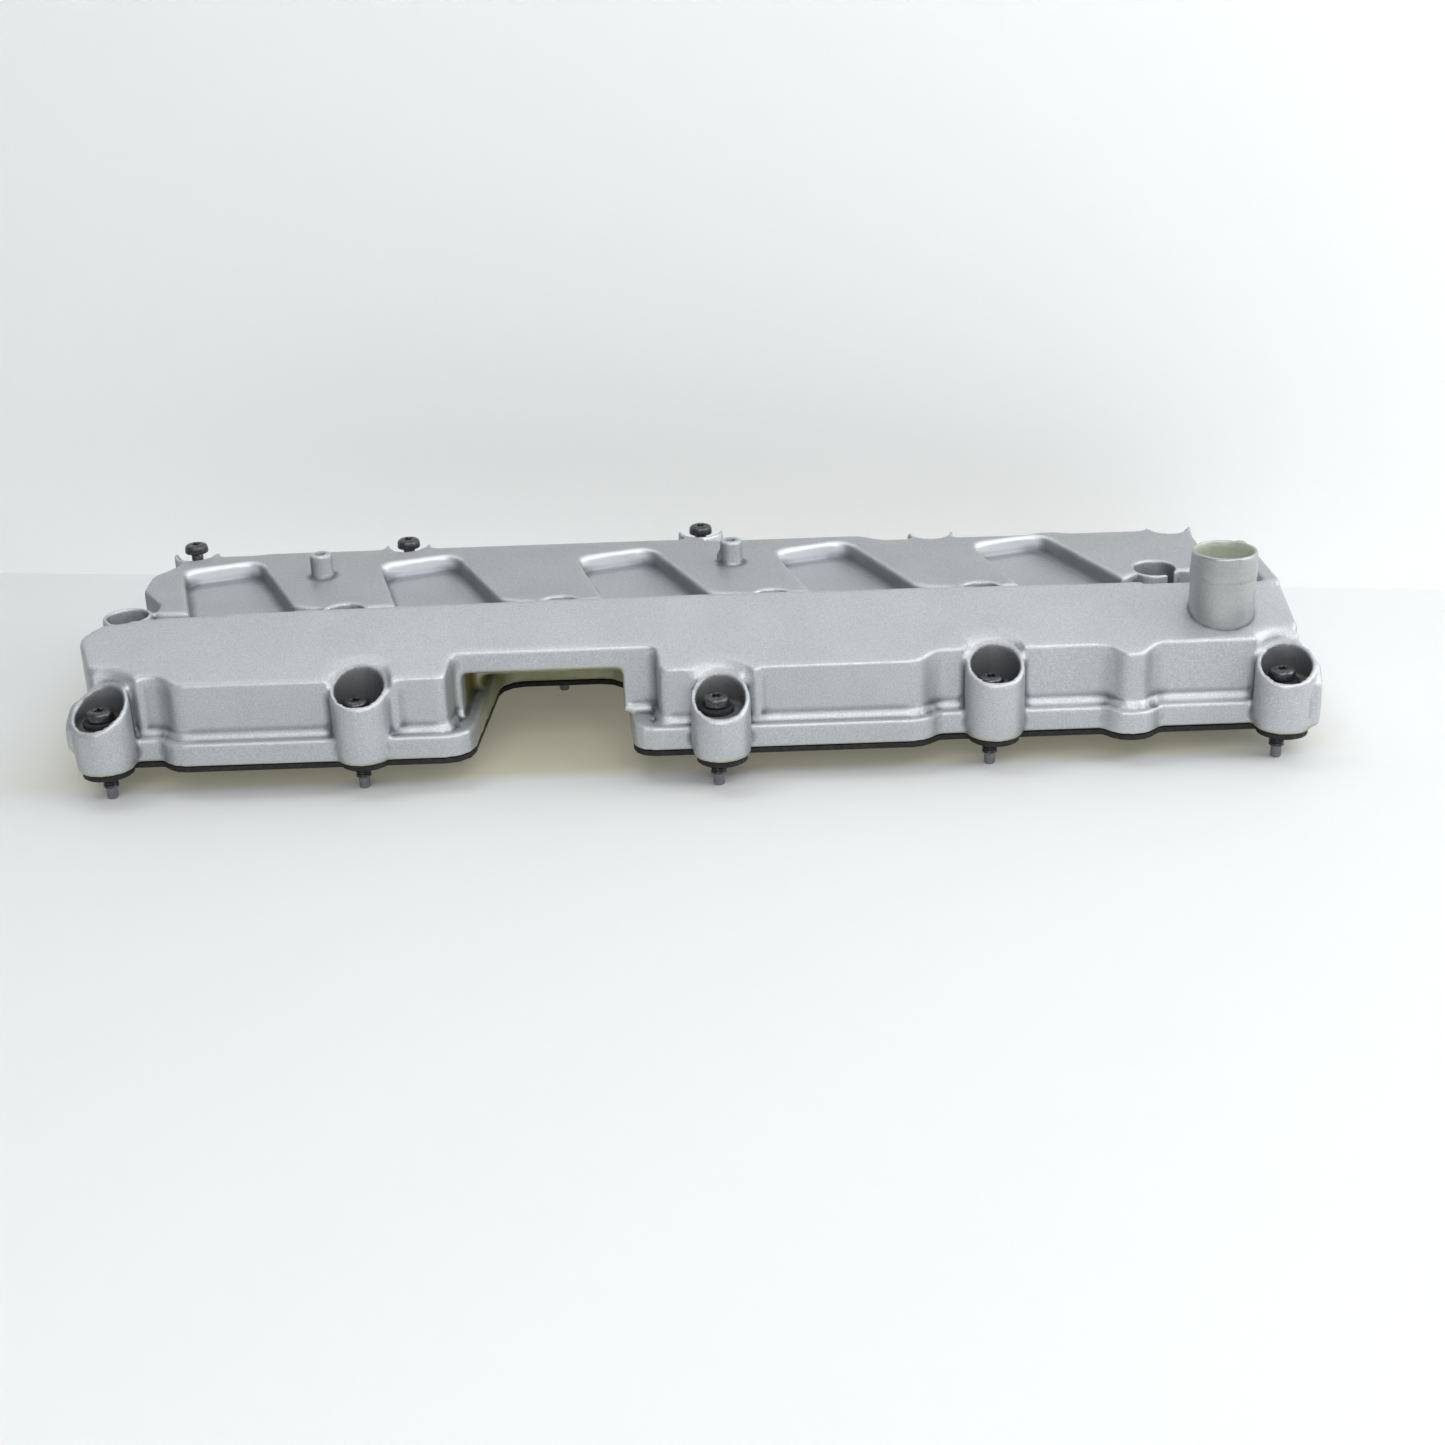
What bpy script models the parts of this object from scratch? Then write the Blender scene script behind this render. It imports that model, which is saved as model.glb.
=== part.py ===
"""Die-cast head cover for one five-cylinder bank, with its captive bolts.

Units are metres, +Z up.  +X runs along the bank towards the breather spout,
+Y runs from the sloping oil-separator chamber to the level plateau behind it.
The dimensions below count from the sealing face of the casting, the bore
plane of cylinder 3 and the row of middle bolts.  The finished part is then
moved so that its origin is on the underside of the gasket behind the bay.
"""
import math

import bmesh
import bpy
from mathutils import Matrix, Vector

MM = 0.001

# ---- driving dimensions, in millimetres -------------------------------------
BORE_PITCH = 88.0
BORES = [BORE_PITCH * k for k in (-2, -1, 0, 1, 2)]

WALL = 3.0                  # casting wall
LEDGE_OUT = 4.5             # how far the foot flange stands outside the walls
FOOT_Z = 9.5                # height of the foot flange
GROOVE_OUT = 3.0            # a shallow groove runs along the walls in the flange's top
GROOVE_DEPTH = 2.0
STEP_OUT = 1.5              # lip at the bottom of the walls, inside the groove
STEP_H = 2.0
DECK_Z = 18.0               # floor of the valley between chamber and plateau
GAP = 0.3                   # clearance between pieces that rest on each other

# sloping chamber roof: z = ROOF_RIDGE_Z + ROOF_SLOPE * (y - RIDGE_Y)
RIDGE_Y = -32.0
ROOF_RIDGE_Z = 46.2
ROOF_SLOPE = math.tan(math.radians(16.5))
RIDGE_BOW = 3.6             # the ridge line bows forward this much at its ends
RIDGE_HALF = 205.0

# plateau behind the valley: z = PLATEAU_Z + PLATEAU_SLOPE * (y - PLATEAU_Y)
PLATEAU_Y = 10.0
PLATEAU_Z = 31.0
PLATEAU_SLOPE = math.tan(math.radians(2.5))

FRONT_WALL_Y = -80.0        # chamber wall between the wells
FRONT_STEP_Y = -73.7        # the same wall near the ends
REAR_WALL_Y = 81.8
LEFT_X = -228.5
RIGHT_X = 247.7
PLATEAU_LEFT_X = -227.2
PLATEAU_RIGHT_X = 237.0

WELL_R = 11.0               # outside of a front bolt well
WELL_BORE_R = 9.0           # counterbore for the bolt head
MID_WELL_R = 10.3
MID_BORE_R = 8.7
RIM_PROUD = 0.25
SEAT_Z = 17.5               # floor of every bolt well
BOLT_HOLE_R = 5.0           # hole in the seat, holds the grommet
FRONT_WELLS = [(-214.5, -81.0), (-115.0, -79.3), (23.1, -88.0), (129.0, -77.0), (240.2, -80.0)]
FRONT_RIM_Z = [24.3, 29.2, 23.4, 28.8, 25.8]        # height of each rim over its centre
FRONT_RIM_SLOPE = [0.60, 0.52, 0.62, 0.49, 0.50]
FRONT_RIM_SIDE = [0.2, 0.0, 0.0, 0.0, 0.1]          # the end rims also fall to one side
RIM_RELIEF = 0.5            # the roof stands back this much round the rims
WELL_GUARD_R = 13.6         # wall round the front wells, inside the chamber
WELL_GUARD_Z = 27.0
SEAT_SHIFT = -1.6           # the seats of the front wells 2 to 5 are off centre
MID_WELLS = [(-226.0, 8.0), (-134.0, 5.0), (-43.5, 5.2), (46.0, 5.0), (134.5, 5.0), (211.0, 23.0)]
REAR_WELLS = [(-213.3, 83.2), (-116.9, 85.0), (16.6, 90.4), (120.8, 78.0), (227.7, 73.6)]
REAR_LIFTED = {1: 15.0, 2: 13.4, 3: 13.5}    # rear bolts that rest pulled up
REAR_RIM_SLOPE = 0.9                         # the rear rims fall steeply to the rear

RIBS = [(-200.8, -73.7), (-101.9, -80.0), (37.0, -80.0)]    # (x, front of the wall)
RIB_PROUD = 1.5

BAY_FRONT_Y = -65.3         # face of the chamber bridge over the bay
BAY_REAR_Y = -5.6
BAY_BRIDGE_Z = 26.8         # underside of the bridge
BAY_CEILING_Z = 15.0        # lower ceiling behind the chamber
BAY_CEILING_Y = -36.0
BAY_UPPER_X = (-77.5, -14.8)    # side walls of the bay above the foot
BAY_LAND = 6.5              # width of the sealing land round the bay
RAIL_T = 6.1                # raised wall at the spout end of the valley
RAIL_END_Y = 16.5

RECESS_DEPTH = 8.0

SPOUT_XY = (220.2, -55.2)
SPOUT_TOP_Z = 64.0
SPOUT_R = 12.9
SPOUT_SPIGOT_R = 11.7
SPOUT_BORE_R = 10.3
SPOUT_BEAD_Z = 53.8

SCREW_BOSSES = [(-150.0, 48.0), (30.0, 47.6)]
SCREW_BOSS_H = 10.5
SCREW_BOSS_R = 5.0

GASKET_T = 2.0
GASKET_INSET = 0.5          # the gasket stands back from the foot's edge
GASKET_MARGIN = 1.5         # and from the mouth of the cover
ORIGIN = (-43.5, -3.5, -GAP - GASKET_T)     # where the finished part has its origin

BAFFLE_Z = 24.0
BAFFLE_T = 1.2
BAFFLE_BOX = (13.0, 236.0, -64.0, -41.0)
BAFFLE_SCREWS = [(x, y) for x in (22.0, 112.0, 202.0) for y in (-59.0, -46.0)]

BOLT_L = 33.0               # under the head
MID_BOLT_L = 28.0           # the middle bolts are shorter
DOG_L = 5.0                 # length of the dog point
NECK_L = 9.8                # thin neck under the head, turns in the sleeve
NECK_R = 1.85
SLEEVE_R = 2.6
SLEEVE_BORE_R = 2.1
SLEEVE_L = 9.0
GROMMET_T = 2.2             # top of the rubber flange above the seat

ARC_STEP = math.radians(30.0)
ROUND_SEGMENTS = 24
SMALL_SEGMENTS = 12


# ---- small geometry helpers -------------------------------------------------
def roof_z(x, y, lower=0.0):
    """Height of the chamber roof, moved down by lower."""
    return ROOF_RIDGE_Z + ROOF_SLOPE * (y - RIDGE_Y) - lower


def plateau_z(x, y, lower=0.0):
    """Height of the plateau, moved down by lower."""
    return PLATEAU_Z + PLATEAU_SLOPE * (y - PLATEAU_Y) - lower


def well_top(x, y):
    """Rims of the wells in the plateau stand a little proud of it."""
    return plateau_z(x, y, -RIM_PROUD)


def front_rim(k):
    """Height of the slanted rim of front well k, as a function of x and y."""
    centre_x, centre_y = FRONT_WELLS[k]
    return lambda x, y: (FRONT_RIM_Z[k] + FRONT_RIM_SLOPE[k] * (y - centre_y)
                         + FRONT_RIM_SIDE[k] * (x - centre_x))


def ridge_y(x):
    """The ridge line, bowed a little in plan."""
    return RIDGE_Y - RIDGE_BOW * ((x - 10.0) / RIDGE_HALF) ** 2


def turn_side(before, here, after):
    """Positive where a counter-clockwise outline turns left at this corner."""
    a = Vector(here[:2]) - Vector(before[:2])
    b = Vector(after[:2]) - Vector(here[:2])
    return a.x * b.y - a.y * b.x


def grow(corners, distance):
    """Move every edge of a counter-clockwise outline out by distance."""
    grown = []
    count = len(corners)
    for i, here in enumerate(corners):
        before = corners[i - 1]
        after = corners[(i + 1) % count]
        into = (Vector(here[:2]) - Vector(before[:2])).normalized()
        out_of = (Vector(after[:2]) - Vector(here[:2])).normalized()
        normal_a = Vector((into.y, -into.x))
        normal_b = Vector((out_of.y, -out_of.x))
        miter = (normal_a + normal_b) / (1.0 + normal_a.dot(normal_b))
        point = Vector(here[:2]) + miter * distance
        sign = 1.0 if turn_side(before, here, after) > 0 else -1.0
        radius = here[2] + sign * distance if here[2] > 0 else 0.0
        grown.append((point.x, point.y, max(radius, 0.0)))
    return grown


def rounded(corners):
    """Turn corners (x, y, radius) into points, with arcs for the radii."""
    points = []
    count = len(corners)
    for i, (x, y, radius) in enumerate(corners):
        here = Vector((x, y))
        into = Vector(corners[i - 1][:2]) - here
        out_of = Vector(corners[(i + 1) % count][:2]) - here
        turn = math.pi - into.angle(out_of)
        if radius <= 0.05 or turn < 0.02:
            points.append(here)
            continue
        reach = radius * math.tan(turn / 2)
        reach = min(reach, 0.48 * into.length, 0.48 * out_of.length)
        radius = reach / math.tan(turn / 2)
        start = here + into.normalized() * reach
        end = here + out_of.normalized() * reach
        middle = (into.normalized() + out_of.normalized()).normalized()
        centre = here + middle * (radius / math.cos(turn / 2))
        steps = max(1, math.ceil(turn / ARC_STEP))
        first = math.atan2(start.y - centre.y, start.x - centre.x)
        sweep = math.atan2(end.y - centre.y, end.x - centre.x) - first
        sweep = (sweep + math.pi) % (2 * math.pi) - math.pi
        for k in range(steps + 1):
            angle = first + sweep * k / steps
            points.append(centre + Vector((math.cos(angle), math.sin(angle))) * radius)
    return points


def height(level, x, y):
    """A level is a number or a function of x and y."""
    return level(x, y) if callable(level) else level


def object_from(name, bm):
    """Make a scene object from a bmesh in millimetres, and free the bmesh."""
    bmesh.ops.recalc_face_normals(bm, faces=bm.faces)
    bmesh.ops.scale(bm, vec=(MM, MM, MM), verts=bm.verts)
    mesh = bpy.data.meshes.new(name)
    bm.to_mesh(mesh)
    bm.free()
    obj = bpy.data.objects.new(name, mesh)
    bpy.context.scene.collection.objects.link(obj)
    return obj


def prism(name, corners, bottom, top):
    """A solid over an outline, between two levels."""
    points = rounded(corners)
    bm = bmesh.new()
    low = [bm.verts.new((p.x, p.y, height(bottom, p.x, p.y))) for p in points]
    high = [bm.verts.new((p.x, p.y, height(top, p.x, p.y))) for p in points]
    bm.faces.new(low[::-1])
    bm.faces.new(high)
    for i in range(len(points)):
        j = (i + 1) % len(points)
        bm.faces.new((low[i], low[j], high[j], high[i]))
    return object_from(name, bm)


def column(name, xy, radius, bottom, top, segments=ROUND_SEGMENTS):
    """A round solid between two levels."""
    corners = []
    for k in range(segments):
        angle = 2 * math.pi * (k + 0.5) / segments
        corners.append((xy[0] + radius * math.cos(angle), xy[1] + radius * math.sin(angle), 0.0))
    return prism(name, corners, bottom, top)


def turned(name, profile, segments=SMALL_SEGMENTS, closed=False):
    """A turned solid about Z from (radius, z) points; a zero radius is a pole."""
    bm = bmesh.new()
    rings = []
    for radius, z in profile:
        if radius == 0:
            rings.append([bm.verts.new((0, 0, z))])
            continue
        ring = []
        for k in range(segments):
            angle = 2 * math.pi * (k + 0.5) / segments
            ring.append(bm.verts.new((radius * math.cos(angle), radius * math.sin(angle), z)))
        rings.append(ring)
    pairs = list(zip(rings, rings[1:]))
    if closed:
        pairs.append((rings[-1], rings[0]))
    for a, b in pairs:
        for k in range(segments):
            m = (k + 1) % segments
            corner = [a[k % len(a)], a[m % len(a)], b[m % len(b)], b[k % len(b)]]
            bm.faces.new(list(dict.fromkeys(corner)))
    return object_from(name, bm)


def join(name, pieces):
    """Put the meshes of several objects that don't touch into one object."""
    bm = bmesh.new()
    for piece in pieces:
        bm.from_mesh(piece.data)
        bpy.data.objects.remove(piece)
    mesh = bpy.data.meshes.new(name)
    bm.to_mesh(mesh)
    bm.free()
    obj = bpy.data.objects.new(name, mesh)
    bpy.context.scene.collection.objects.link(obj)
    return obj


def combine(target, tool, operation):
    """Apply one Boolean of the tool to the target, and remove the tool."""
    modifier = target.modifiers.new(tool.name, 'BOOLEAN')
    modifier.operation = operation
    modifier.solver = 'EXACT'
    modifier.object = tool
    graph = bpy.context.evaluated_depsgraph_get()
    mesh = bpy.data.meshes.new_from_object(target.evaluated_get(graph))
    target.modifiers.clear()
    target.data = mesh
    bpy.data.objects.remove(tool)
    return target


def add(target, tool):
    return combine(target, tool, 'UNION')


def cut(target, tool):
    return combine(target, tool, 'DIFFERENCE')


def weld(obj):
    """Merge the points that a Boolean left on top of each other, and flat faces."""
    bm = bmesh.new()
    bm.from_mesh(obj.data)
    bmesh.ops.remove_doubles(bm, verts=bm.verts, dist=0.01 * MM)
    bmesh.ops.dissolve_degenerate(bm, edges=bm.edges, dist=0.01 * MM)
    bmesh.ops.dissolve_limit(bm, angle_limit=math.radians(0.2), verts=bm.verts, edges=bm.edges,
                             use_dissolve_boundaries=False)
    loose = [edge for edge in bm.edges if not edge.link_faces]
    bmesh.ops.delete(bm, geom=loose, context='EDGES')
    bm.to_mesh(obj.data)
    bm.free()


def shade_round(obj):
    obj.data.shade_smooth()
    obj.data.set_sharp_from_angle(angle=math.radians(35))


def finish(obj, material):
    obj.data.materials.clear()
    obj.data.materials.append(material)
    shade_round(obj)
    return obj


def material(name, colour, roughness, metallic):
    made = bpy.data.materials.new(name)
    made.use_nodes = True
    shader = made.node_tree.nodes['Principled BSDF']
    shader.inputs['Base Color'].default_value = (*colour, 1.0)
    shader.inputs['Roughness'].default_value = roughness
    shader.inputs['Metallic'].default_value = metallic
    return made


# ---- outlines of the casting, counter-clockwise, (x, y, corner radius) ------
def front_edge(bay_step):
    """Front of the walls from left to right; bay_step sets it back at the bay."""
    edge = [(-219.0, FRONT_STEP_Y, 2), (-192.0, FRONT_STEP_Y, 6), (-186.0, FRONT_WALL_Y, 6)]
    if bay_step:
        edge += [(-82.0, FRONT_WALL_Y, 3), (-80.5, BAY_FRONT_Y, 3),
                 (-1.5, BAY_FRONT_Y, 3), (0.0, FRONT_WALL_Y, 3)]
    edge += [(99.5, FRONT_WALL_Y, 7), (106.0, FRONT_STEP_Y, 7), (173.0, FRONT_STEP_Y, 7),
             (178.5, -80.6, 5), (185.0, -80.6, 5), (191.5, FRONT_STEP_Y, 7),
             (RIGHT_X, FRONT_STEP_Y, 1)]
    return edge


def rear_edge():
    """Rear of the walls, from right to left."""
    return [(PLATEAU_RIGHT_X, 71.7, 3), (182.5, 71.7, 6), (178.0, 74.2, 4), (168.0, 74.2, 4),
            (163.5, 71.7, 6), (99.0, 71.7, 8), (89.0, 78.3, 8), (18.0, 78.3, 0),
            (14.0, REAR_WALL_Y, 0), (-180.0, REAR_WALL_Y, 4), (-186.0, 80.4, 4),
            (-215.0, 80.4, 1), (-219.5, 68.0, 4), (PLATEAU_LEFT_X, 58.0, 5)]


def wall_outline(bay_step):
    """All round the cover, at the height of the deck."""
    right = [(RIGHT_X, 17.0, 3), (PLATEAU_RIGHT_X, 27.0, 3)]
    left = [(LEFT_X, 20.0, 3), (LEFT_X, -50.0, 3)]
    return front_edge(bay_step) + right + rear_edge() + left


def chamber_outline():
    """The sloping chamber, from the front wall to the ridge."""
    ridge = []
    for k in range(8):
        x = 212.0 - k * (212.0 + 203.0) / 7
        ridge.append((x, ridge_y(x), 0))
    right = [(RIGHT_X, ridge_y(RIGHT_X), 0)]
    left = [(-222.0, -39.5, 3), (LEFT_X, -47.0, 3), (LEFT_X, -50.0, 2)]
    return front_edge(True) + right + ridge + left


def plateau_outline():
    """The level plateau behind the valley."""
    front = [(-215.0, PLATEAU_Y, 2), (193.0, PLATEAU_Y, 4), (203.0, 19.0, 4),
             (222.0, 19.0, 4), (PLATEAU_RIGHT_X, 24.0, 4)]
    left = [(PLATEAU_LEFT_X, 39.5, 3), (-215.5, 21.0, 2)]
    return front + rear_edge() + left


def bay_at_foot():
    """The bay that clears the engine, at the height of the foot flange."""
    y = FRONT_WALL_Y - LEDGE_OUT
    return [(-73.0, y, 11), (-68.2, BAY_REAR_Y, 10), (-17.0, BAY_REAR_Y, 11), (-11.0, y, 9)]


def foot_outline():
    """Outside of the foot flange, round the bay as well."""
    around = grow(wall_outline(False), LEDGE_OUT)
    return around[:3] + bay_at_foot() + around[3:]


def recess_outline(bore_x):
    """One recess, turned in plan and open to the valley at its near end."""
    return [(bore_x - 20.5, -4.0, 0), (bore_x + 28.0, -4.0, 0), (bore_x + 28.0, 9.6, 0),
            (bore_x + 19.0, 13.0, 5), (bore_x - 6.5, 71.0, 8), (bore_x - 38.5, 60.5, 5)]


# ---- the casting ------------------------------------------------------------
def bay_foot_tool(extra):
    """The bay below the top of the foot flange, as a solid, extra larger."""
    corners = [(x, y, r if y > BAY_FRONT_Y else 0) for x, y, r in bay_at_foot()]
    return prism('bay_foot', grow(corners[::-1], extra), -5.0, FOOT_Z)


def bay_upper_tools(extra):
    """The bay above the foot flange, as two solids, extra larger."""
    left, right = BAY_UPPER_X
    rear = BAY_REAR_Y - 0.6
    low_corners = [(left, -110.0, 0), (right, -110.0, 0), (right - 2.5, rear, 9), (left + 6.0, rear, 9)]
    bottom = FOOT_Z - extra
    low = prism('bay_low', grow(low_corners, extra), bottom, BAY_CEILING_Z + extra)
    high_corners = [(left, -110.0, 0), (right, -110.0, 0), (right, BAY_CEILING_Y, 3),
                    (left, BAY_CEILING_Y, 3)]
    high = prism('bay_high', grow(high_corners, extra), bottom, BAY_BRIDGE_Z + extra)
    return [low, high]


def outer_body():
    """The outside of the cover without its foot flange, wells and bosses."""
    body = prism('cover_casting', wall_outline(True), 0.0, DECK_Z)
    add(body, prism('step', grow(wall_outline(True), STEP_OUT), 0.5, FOOT_Z + STEP_H))
    add(body, prism('chamber', chamber_outline(), 0.0, roof_z))
    add(body, prism('plateau', plateau_outline(), 0.0, plateau_z))
    inner_x = RIGHT_X - RAIL_T
    rail = [(inner_x, -40.0, 0), (RIGHT_X, -40.0, 0), (RIGHT_X, RAIL_END_Y, 2),
            (inner_x, RAIL_END_Y, 2)]
    add(body, prism('end_rail', rail, 1.0, ROOF_RIDGE_Z - 0.8))
    recesses = [prism('recess', recess_outline(x), lambda x, y: plateau_z(x, y, RECESS_DEPTH), 60.0)
                for x in BORES]
    cut(body, join('recesses', recesses))
    for tool in [bay_foot_tool(0.0)] + bay_upper_tools(0.0):
        cut(body, tool)
    foot = prism('foot', foot_outline(), 0.0, FOOT_Z)
    cut(foot, prism('groove', grow(wall_outline(True), GROOVE_OUT), FOOT_Z - GROOVE_DEPTH, DECK_Z))
    return add(body, foot)


def foot_opening(margin, bottom, top):
    """The mouth of the cover inside its sealing land, margin larger."""
    mouth = prism('mouth', grow(wall_outline(True), margin - WALL), bottom, top)
    return cut(mouth, bay_foot_tool(BAY_LAND - margin))


def cavity():
    """The space over the valve gear, as a solid to remove."""
    space = prism('cavity', grow(wall_outline(True), -WALL), -5.0, DECK_Z - WALL)
    add(space, prism('chamber_space', grow(chamber_outline(), -WALL), 5.0,
                     lambda x, y: roof_z(x, y, WALL)))
    add(space, prism('plateau_space', grow(plateau_outline(), -WALL), 5.0,
                     lambda x, y: plateau_z(x, y, WALL)))
    guards = [prism('guard', grow(recess_outline(x), WALL),
                    lambda x, y: plateau_z(x, y, RECESS_DEPTH + WALL), 60.0) for x in BORES]
    cut(space, join('guards', guards))
    around_wells = [column('guard', xy, WELL_GUARD_R, WELL_GUARD_Z, 60.0) for xy in FRONT_WELLS]
    cut(space, join('well_guards', around_wells))
    for tool in [bay_foot_tool(BAY_LAND)] + bay_upper_tools(WALL):
        cut(space, tool)
    return space


def add_wells(body):
    """Bolt wells: round columns from the foot to their rims."""
    front = [column('well', xy, WELL_R, 0.0, front_rim(k)) for k, xy in enumerate(FRONT_WELLS)]
    middle = [column('well', xy, MID_WELL_R, 0.0, well_top) for xy in MID_WELLS]
    rear = []
    for x, y in REAR_WELLS:
        rim = lambda px, py, y=y, z=plateau_z(x, y): z - REAR_RIM_SLOPE * (py - y)
        rear.append(column('well', (x, y), MID_WELL_R, 0.0, rim))
    rear = join('rear_wells', rear)
    sky = [(-260.0, 50.0, 0), (260.0, 50.0, 0), (260.0, 120.0, 0), (-260.0, 120.0, 0)]
    cut(rear, prism('sky', sky, well_top, 90.0))
    for columns in [join('front_wells', front)] + middle + [rear]:
        add(body, columns)
        weld(body)
    reliefs = []
    for k, xy in enumerate(FRONT_WELLS):
        over_rim = lambda x, y, rim=front_rim(k): rim(x, y) + 0.05
        reliefs.append(column('relief', xy, WELL_R + RIM_RELIEF, over_rim, 70.0))
    return cut(body, join('reliefs', reliefs))


def add_ribs(body):
    """Thin upright ribs on the front wall, beside three of the wells."""
    ribs = []
    for x, wall_y in RIBS:
        corners = [(x - 1.0, wall_y - RIB_PROUD, 0), (x + 1.0, wall_y - RIB_PROUD, 0),
                   (x + 1.4, wall_y + 1.0, 0), (x - 1.4, wall_y + 1.0, 0)]
        ribs.append(prism('rib', corners, 1.0, lambda px, py: roof_z(px, py, 0.4)))
    return add(body, join('ribs', ribs))


def add_corner_blocks(body):
    """The thick corners outside the two end wells."""
    x, y = FRONT_WELLS[0]
    left = [(x - 13.2, y - 5.0, 3), (x - 2.0, y - 5.0, 0), (x - 2.0, y + 8.0, 0), (x - 13.2, y + 8.0, 3)]
    add(body, prism('left_corner', left, lambda px, py: 9.0 - 0.5 * (px - x + 12.0),
                    lambda px, py: front_rim(0)(px, py) - 1.5))
    x, y = FRONT_WELLS[-1]
    right = [(x + 1.0, y - 8.0, 0), (x + 12.2, y - 8.0, 1), (x + 12.2, y - 1.0, 1), (x + 1.0, y + 2.0, 0)]
    return add(body, prism('right_corner', right, 2.0, lambda px, py: 18.5 + 1.1 * (py - y + 8.0)))


def add_screw_bosses(body):
    bosses = [column('boss', xy, SCREW_BOSS_R, PLATEAU_Z - 1.0, plateau_z(*xy) + SCREW_BOSS_H, SMALL_SEGMENTS)
              for xy in SCREW_BOSSES]
    nub_x, nub_y = SCREW_BOSSES[1]
    nub = [(nub_x - 6.4, nub_y - 1.5, 1), (nub_x - 3.0, nub_y - 1.5, 0), (nub_x - 3.0, nub_y + 1.5, 0),
           (nub_x - 6.4, nub_y + 1.5, 1)]
    add(body, join('bosses', bosses))
    return add(body, prism('nub', nub, PLATEAU_Z - 1.0, plateau_z(nub_x, nub_y) + 5.0))


def add_baffle_bosses(body):
    """Bosses under the chamber roof that carry the baffle plate."""
    bosses = [column('baffle_boss', xy, 3.6, BAFFLE_Z + BAFFLE_T + GAP,
                     lambda x, y: roof_z(x, y, WALL / 2), SMALL_SEGMENTS) for xy in BAFFLE_SCREWS]
    return add(body, join('baffle_bosses', bosses))


def cut_bores(body):
    """Counterbores and seats of the wells, and all screw holes."""
    bores = []
    for xy in FRONT_WELLS:
        bores.append(column('bore', xy, WELL_BORE_R, SEAT_Z, 70.0))
    for xy in MID_WELLS + REAR_WELLS:
        bores.append(column('bore', xy, MID_BORE_R, SEAT_Z, 70.0))
    for xy in SCREW_BOSSES:
        bores.append(column('pilot', xy, 1.8, plateau_z(*xy) - 0.5, 70.0, SMALL_SEGMENTS))
    cut(body, join('bores', bores))
    holes = [column('hole', xy, BOLT_HOLE_R, -5.0, SEAT_Z + 2.0, SMALL_SEGMENTS) for _, xy in bolt_places()]
    cut(body, join('holes', holes))
    taps = [column('tap', xy, 1.9, BAFFLE_Z - 5.0, BAFFLE_Z + 8.0, SMALL_SEGMENTS) for xy in BAFFLE_SCREWS]
    cut(body, join('taps', taps))
    x, y = MID_WELLS[-1]
    drain = [(x - 2.2, y - 13.0, 0), (x + 2.2, y - 13.0, 0), (x + 2.2, y - 6.0, 0), (x - 2.2, y - 6.0, 0)]
    drain = [turn_about((x, y), corner, math.radians(37.0)) for corner in drain]
    cut(body, prism('drain_slot', drain, 21.0, 60.0))
    return cut(body, column('spout_hole', SPOUT_XY, SPOUT_SPIGOT_R + GAP, 20.0, 60.0))


def turn_about(centre, corner, angle):
    """A corner (x, y, radius) turned about a centre in plan."""
    dx, dy = corner[0] - centre[0], corner[1] - centre[1]
    cos, sin = math.cos(angle), math.sin(angle)
    return (centre[0] + cos * dx - sin * dy, centre[1] + sin * dx + cos * dy, corner[2])


def bolt_places():
    """Every bolt as (name, (x, y))."""
    named = []
    front = [FRONT_WELLS[0]] + [(x + SEAT_SHIFT, y) for x, y in FRONT_WELLS[1:]]
    for row, centres in (('front', front), ('mid', MID_WELLS), ('rear', REAR_WELLS)):
        named += [('%s_%d' % (row, k + 1), xy) for k, xy in enumerate(centres)]
    return named


def build_casting(paint):
    body = outer_body()
    cut(body, cavity())
    weld(body)
    add_wells(body)
    add_ribs(body)
    add_corner_blocks(body)
    add_screw_bosses(body)
    add_baffle_bosses(body)
    cut_bores(body)
    weld(body)
    return finish(body, paint)


# ---- gasket, spout and baffle -----------------------------------------------
def build_gasket(rubber):
    """Flat rubber gasket under the whole sealing land."""
    top, bottom = -GAP, -GAP - GASKET_T
    gasket = prism('perimeter_gasket', grow(foot_outline(), -GASKET_INSET), bottom, top)
    cut(gasket, foot_opening(GASKET_MARGIN, bottom - 1.0, top + 1.0))
    eyes = FRONT_WELLS + [MID_WELLS[0], MID_WELLS[2]] + REAR_WELLS
    add(gasket, join('eyes', [column('eye', xy, MID_WELL_R - GASKET_INSET, bottom, top) for xy in eyes]))
    cut(gasket, join('eye_holes', [column('eye_hole', xy, 4.2, bottom - 1.0, top + 1.0, SMALL_SEGMENTS)
                                   for _, xy in bolt_places()]))
    weld(gasket)
    return finish(gasket, rubber)


def build_spout(paint):
    """Breather spout: a spigot in the roof, a stem and a hose bead."""
    x, y = SPOUT_XY
    spout = column('breather_spout', SPOUT_XY, SPOUT_R, lambda px, py: roof_z(px, py, -GAP), SPOUT_BEAD_Z)
    head = turned('head', [(0, SPOUT_BEAD_Z - 1.0), (SPOUT_R - 0.6, SPOUT_BEAD_Z - 1.0),
                           (SPOUT_R, SPOUT_BEAD_Z + 0.6), (SPOUT_R - 0.1, SPOUT_TOP_Z - 2.2),
                           (SPOUT_R - 0.9, SPOUT_TOP_Z), (0, SPOUT_TOP_Z)], ROUND_SEGMENTS)
    head.data.transform(Matrix.Translation((x * MM, y * MM, 0)))
    add(spout, head)
    add(spout, column('spigot', SPOUT_XY, SPOUT_SPIGOT_R, 31.5, 50.0))
    cut(spout, column('spout_bore', SPOUT_XY, SPOUT_BORE_R, 20.0, 90.0))
    weld(spout)
    return finish(spout, paint)


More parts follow.
